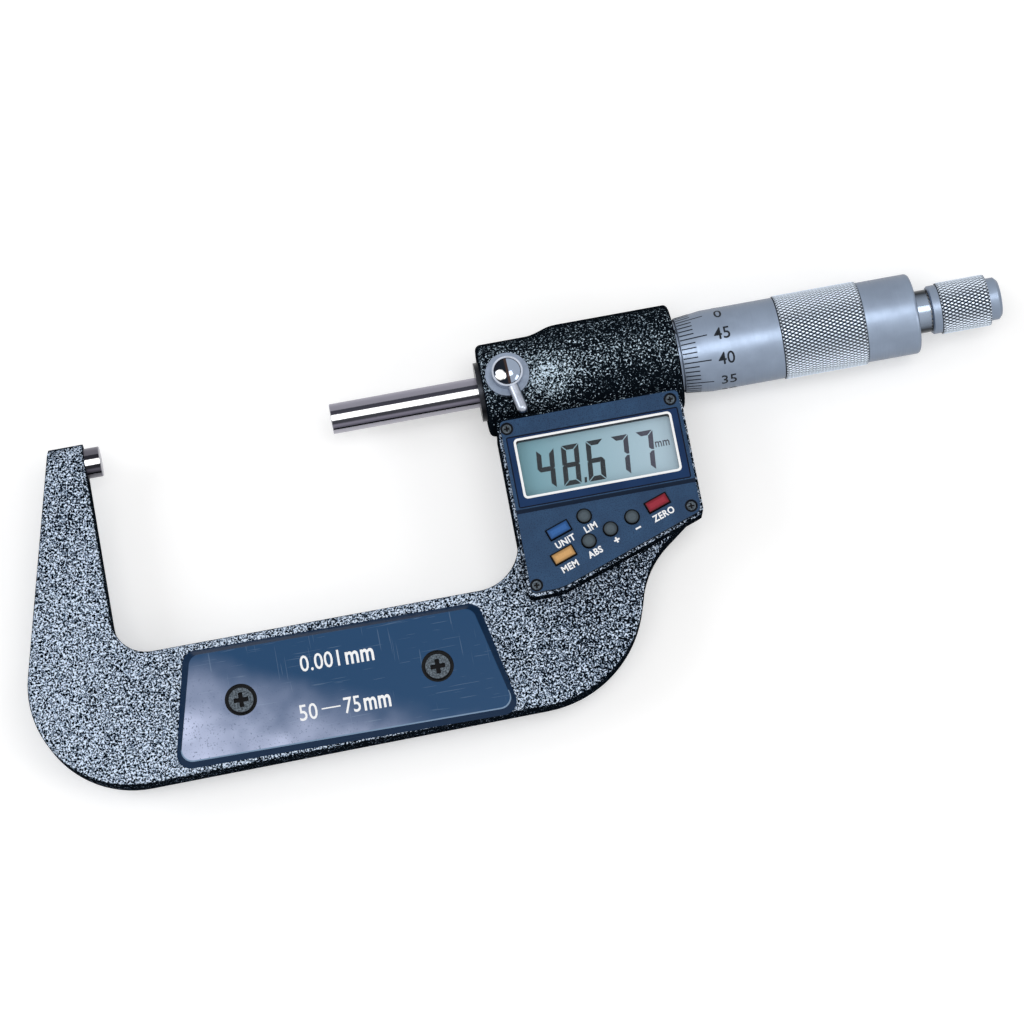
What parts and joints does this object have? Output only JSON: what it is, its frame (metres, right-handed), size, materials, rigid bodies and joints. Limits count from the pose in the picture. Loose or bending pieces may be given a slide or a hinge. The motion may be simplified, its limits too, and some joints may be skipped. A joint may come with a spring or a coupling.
{
  "type": "digital outside micrometer",
  "caption": "Outside micrometer with a U frame, battery-powered digital display, lockable spindle, graduated thimble and ratchet stop.",
  "frame": {"origin": "centre of the anvil's measuring face", "axes": "+X along the spindle from the anvil towards the thimble, +Y from the bow of the frame to the spindle, +Z out of the display face"},
  "size_m": [0.2194, 0.0827, 0.0256],
  "materials": {
    "hammertone": "grey hammertone paint with fine dark cells on a casting",
    "ground_steel": "ground",
    "carbide": "fine ground hard tip",
    "satin_chrome": "satin",
    "polished_chrome": "polished",
    "spring_steel": "tempered",
    "black_steel": "blackened",
    "brass": "turned",
    "inner_plastic": "moulded",
    "board_green": "laminate",
    "flex_orange": "film",
    "panel_blue": "fine-grained satin",
    "plate_blue": "gloss with fine scratches",
    "lens_clear": "clear with a dark printed border",
    "lcd_face": "grey-green liquid crystal display behind glass",
    "rubber_grey": "soft",
    "rubber_black": "soft",
    "black_plastic": "fine-grained",
    "button_grey": "matte",
    "button_yellow": "matte",
    "button_red": "matte",
    "button_blue": "matte"
  },
  "bodies": {
    "frame": {"frame": "hammertone", "anvil": "ground_steel", "anvil_tip": "carbide", "guide_bush": "black_steel", "inner_sleeve": "ground_steel", "graduated_sleeve": "satin_chrome", "adjusting_nut": "ground_steel", "stator_spacer": "inner_plastic", "encoder_stator": "board_green", "encoder_tail": "flex_orange", "rotor_washer": "spring_steel", "lock_bush": "satin_chrome", "lock_pad": "brass", "display_panel": "panel_blue", "panel_screws": "black_steel", "display_lens": "lens_clear", "lcd_glass": "lcd_face", "lcd_connector": "rubber_grey", "lcd_holder": "inner_plastic", "circuit_board": "board_green", "keypad_mat": "rubber_grey", "battery": "ground_steel", "battery_holder": "inner_plastic", "battery_contact": "spring_steel", "insulating_plate": "plate_blue", "insulating_plate_screws": "black_steel"},
    "rotor": {"rotor_bush": "brass", "encoder_rotor": "board_green", "rotor_key": "ground_steel"},
    "spindle": {"spindle": "ground_steel", "spindle_tip": "carbide", "thimble": "satin_chrome", "ratchet_shaft": "satin_chrome", "ratchet_end_screw": "ground_steel"},
    "ratchet": {"ratchet_knob": "satin_chrome", "ratchet_clutch": "spring_steel", "ratchet_spring": "spring_steel"},
    "lock": {"lock_lever": "polished_chrome", "lock_stud": "ground_steel", "lock_cap_screw": "polished_chrome"},
    "battery_cap": {"battery_cap": "black_plastic", "battery_cap_seal": "rubber_black"},
    "mode_button": {"mode_button": "button_grey"},
    "plus_button": {"plus_button": "button_grey"},
    "minus_button": {"minus_button": "button_grey"},
    "limit_button": {"limit_button": "button_grey"},
    "hold_button": {"hold_button": "button_yellow"},
    "zero_button": {"zero_button": "button_red"},
    "unit_button": {"unit_button": "button_blue"}
  },
  "joints": [
    {"name": "rotor_spin", "type": "hinge", "parent": "frame", "child": "rotor", "pos_m": [0.105, 0, 0], "axis": [1, 0, 0], "range_deg": [0, 18000]},
    {"name": "spindle_travel", "type": "slide", "parent": "rotor", "child": "spindle", "axis": [1, 0, 0], "range_m": [0, 0.025]},
    {"name": "ratchet_spin", "type": "hinge", "parent": "spindle", "child": "ratchet", "pos_m": [0.186, 0, 0], "axis": [1, 0, 0], "continuous": true},
    {"name": "lock_turn", "type": "hinge", "parent": "frame", "child": "lock", "pos_m": [0.0885, 0, 0.012], "axis": [0, 0, 1], "range_deg": [-60, 0]},
    {"name": "battery_cap_turn", "type": "hinge", "parent": "frame", "child": "battery_cap", "pos_m": [0.104, -0.0245, -0.0089], "axis": [0, 0, 1], "range_deg": [0, 90]},
    {"name": "mode_press", "type": "slide", "parent": "frame", "child": "mode_button", "axis": [0, 0, -1], "range_m": [0, 0.0004], "stiffness_N_per_m": 150},
    {"name": "plus_press", "type": "slide", "parent": "frame", "child": "plus_button", "axis": [0, 0, -1], "range_m": [0, 0.0004], "stiffness_N_per_m": 150},
    {"name": "minus_press", "type": "slide", "parent": "frame", "child": "minus_button", "axis": [0, 0, -1], "range_m": [0, 0.0004], "stiffness_N_per_m": 150},
    {"name": "limit_press", "type": "slide", "parent": "frame", "child": "limit_button", "axis": [0, 0, -1], "range_m": [0, 0.0004], "stiffness_N_per_m": 150},
    {"name": "hold_press", "type": "slide", "parent": "frame", "child": "hold_button", "axis": [0, 0, -1], "range_m": [0, 0.0004], "stiffness_N_per_m": 150},
    {"name": "zero_press", "type": "slide", "parent": "frame", "child": "zero_button", "axis": [0, 0, -1], "range_m": [0, 0.0004], "stiffness_N_per_m": 150},
    {"name": "unit_press", "type": "slide", "parent": "frame", "child": "unit_button", "axis": [0, 0, -1], "range_m": [0, 0.0004], "stiffness_N_per_m": 150}
  ],
  "couplings": [
    {"joint": "rotor_spin", "follows": "spindle_travel", "rad_per_m": 12566}
  ]
}
